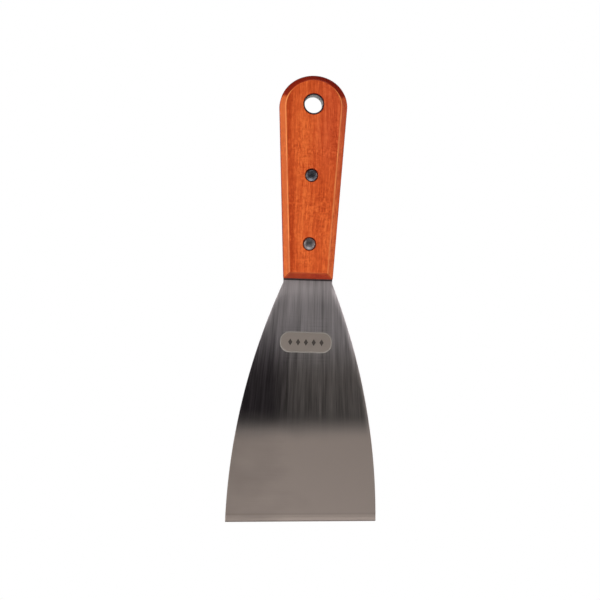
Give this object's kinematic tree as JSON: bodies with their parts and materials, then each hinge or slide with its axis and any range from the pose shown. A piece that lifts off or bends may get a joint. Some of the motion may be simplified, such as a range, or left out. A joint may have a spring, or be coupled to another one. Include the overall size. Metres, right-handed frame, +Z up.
{
  "type": "drywall taping knife",
  "caption": "Flexible steel hand knife with a flared blade and straight edge, full tang, riveted wooden handle scales with chamfered faces, and an eyelet-lined hanging hole.",
  "frame": {"origin": "centre of the hanging hole, half way through the tang", "axes": "+Z up along the handle, away from the blade's edge; +X across the blade to the right as seen from the front; -Y out of the front face, which carries the etched panel"},
  "size_m": [0.075, 0.016, 0.223],
  "materials": {
    "blade_steel": "brushed along the blade near the handle, finely ground and satin over the lowest 45 mm",
    "handle_wood": "orange-red stained hardwood with fine lengthwise grain under clear lacquer",
    "rivet_steel": "bright nickel-plated, shallow polished domes",
    "eyelet_steel": "thin plated steel, drawn, with flared lips"
  },
  "bodies": {
    "root": {"blade": "blade_steel", "front_scale": "handle_wood", "back_scale": "handle_wood", "upper_rivet_stud": "rivet_steel", "upper_rivet_sleeve": "rivet_steel", "lower_rivet_stud": "rivet_steel", "lower_rivet_sleeve": "rivet_steel", "hanging_eyelet": "eyelet_steel"}
  },
  "joints": []
}
